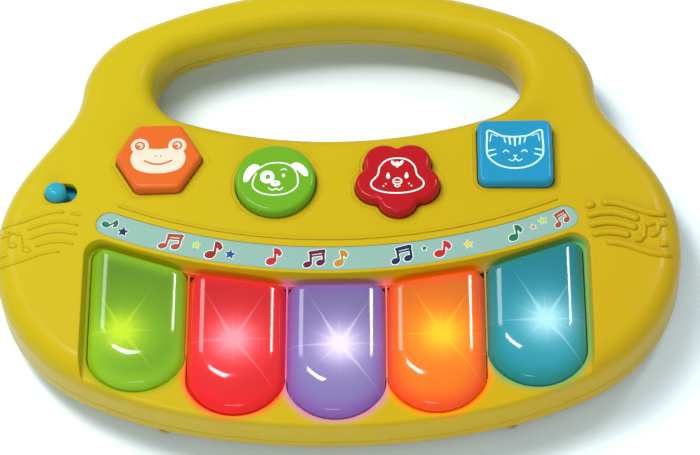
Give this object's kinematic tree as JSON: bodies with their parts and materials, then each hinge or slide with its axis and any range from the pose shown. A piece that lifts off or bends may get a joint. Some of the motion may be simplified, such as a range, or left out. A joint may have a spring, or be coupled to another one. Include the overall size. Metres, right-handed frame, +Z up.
{
  "type": "toy keyboard",
  "caption": "Light-up toy keyboard in a glossy moulded body with a carry handle, sprung translucent keys, shaped picture buttons, an arched printed strip and a power slider.",
  "frame": {"origin": "centre of the bounding box in plan, at the height of the feet", "axes": "+X to the player's right, +Y from the keys towards the carry handle, +Z up out of the playing face"},
  "size_m": [0.2754, 0.2112, 0.0401],
  "materials": {
    "yellow_plastic": "glossy moulded",
    "key_green": "translucent glossy",
    "key_red": "translucent glossy",
    "key_violet": "translucent glossy",
    "key_orange": "translucent glossy",
    "key_teal": "translucent glossy",
    "button_orange": "glossy with a printed face",
    "button_green": "glossy with a printed face",
    "button_red": "glossy with a printed face",
    "button_blue": "glossy with a printed face",
    "slider_teal": "glossy",
    "decal_film": "printed film",
    "print_white": "printed ink",
    "silicone": "matt",
    "board": "solder mask",
    "component": "moulded epoxy",
    "led": "clear lens",
    "steel": "zinc plated",
    "cell": "wrapped steel can",
    "paper": "pressed paper",
    "magnet": "ferrite",
    "wire_red": "insulated",
    "wire_black": "insulated",
    "wire_grey": "flat cable"
  },
  "bodies": {
    "body": {"battery_cell_1": "cell", "battery_cell_2": "cell", "battery_cell_3": "cell", "battery_cover": "yellow_plastic", "battery_cover_screw": "steel", "battery_plates": "steel", "battery_springs": "steel", "board_capacitor": "component", "board_resistors": "component", "board_screws": "steel", "decal_strip": "decal_film", "dome_circle": "silicone", "dome_flower": "silicone", "dome_hexagon": "silicone", "dome_key_green": "silicone", "dome_key_orange": "silicone", "dome_key_red": "silicone", "dome_key_teal": "silicone", "dome_key_violet": "silicone", "dome_square": "silicone", "housing_screws": "steel", "key_board": "board", "key_leds": "led", "key_ribbon": "wire_grey", "lower_housing": "yellow_plastic", "main_board": "board", "slide_switch_can": "steel", "sound_chip": "component", "speaker_clamps": "steel", "speaker_cone": "paper", "speaker_frame": "steel", "speaker_magnet": "magnet", "speaker_screws": "steel", "switch_board": "board", "upper_housing": "yellow_plastic", "wire_battery_black": "wire_black", "wire_battery_red": "wire_red", "wire_speaker_black": "wire_black", "wire_speaker_red": "wire_red", "wires_switch": "wire_grey"},
    "key_green": {"key_green": "key_green"},
    "key_red": {"key_red": "key_red"},
    "key_violet": {"key_violet": "key_violet"},
    "key_orange": {"key_orange": "key_orange"},
    "key_teal": {"key_teal": "key_teal"},
    "button_hexagon": {"button_hexagon": "button_orange"},
    "button_circle": {"button_circle": "button_green"},
    "button_flower": {"button_flower": "button_red"},
    "button_square": {"button_square": "button_blue"},
    "slider": {"slider_knob": "slider_teal", "slide_switch_lever": "component"}
  },
  "joints": [
    {"name": "key_green_press", "type": "hinge", "parent": "body", "child": "key_green", "pos_m": [-0.0786, -0.01713, 0.0274], "axis": [1, 0, 0], "range_deg": [0, 2.4], "stiffness_Nm_per_rad": 0.6, "springref_deg": -1.72, "deforming": ["dome_key_green"]},
    {"name": "key_red_press", "type": "hinge", "parent": "body", "child": "key_red", "pos_m": [-0.0393, -0.03011, 0.0274], "axis": [1, 0, 0], "range_deg": [0, 2.4], "stiffness_Nm_per_rad": 0.6, "springref_deg": -1.72, "deforming": ["dome_key_red"]},
    {"name": "key_violet_press", "type": "hinge", "parent": "body", "child": "key_violet", "pos_m": [0, -0.03594, 0.0274], "axis": [1, 0, 0], "range_deg": [0, 2.4], "stiffness_Nm_per_rad": 0.6, "springref_deg": -1.72, "deforming": ["dome_key_violet"]},
    {"name": "key_orange_press", "type": "hinge", "parent": "body", "child": "key_orange", "pos_m": [0.0393, -0.03011, 0.0274], "axis": [1, 0, 0], "range_deg": [0, 2.4], "stiffness_Nm_per_rad": 0.6, "springref_deg": -1.72, "deforming": ["dome_key_orange"]},
    {"name": "key_teal_press", "type": "hinge", "parent": "body", "child": "key_teal", "pos_m": [0.0786, -0.01713, 0.0274], "axis": [1, 0, 0], "range_deg": [0, 2.4], "stiffness_Nm_per_rad": 0.6, "springref_deg": -1.72, "deforming": ["dome_key_teal"]},
    {"name": "button_hexagon_press", "type": "slide", "parent": "body", "child": "button_hexagon", "axis": [0, 0, -1], "range_m": [0, 0.002], "stiffness_N_per_m": 400, "springref_m": -0.0015, "deforming": ["dome_hexagon"]},
    {"name": "button_circle_press", "type": "slide", "parent": "body", "child": "button_circle", "axis": [0, 0, -1], "range_m": [0, 0.002], "stiffness_N_per_m": 400, "springref_m": -0.0015, "deforming": ["dome_circle"]},
    {"name": "button_flower_press", "type": "slide", "parent": "body", "child": "button_flower", "axis": [0, 0, -1], "range_m": [0, 0.002], "stiffness_N_per_m": 400, "springref_m": -0.0015, "deforming": ["dome_flower"]},
    {"name": "button_square_press", "type": "slide", "parent": "body", "child": "button_square", "axis": [0, 0, -1], "range_m": [0, 0.002], "stiffness_N_per_m": 400, "springref_m": -0.0015, "deforming": ["dome_square"]},
    {"name": "power_slide", "type": "slide", "parent": "body", "child": "slider", "axis": [1, 0, 0], "range_m": [0, 0.004]}
  ]
}
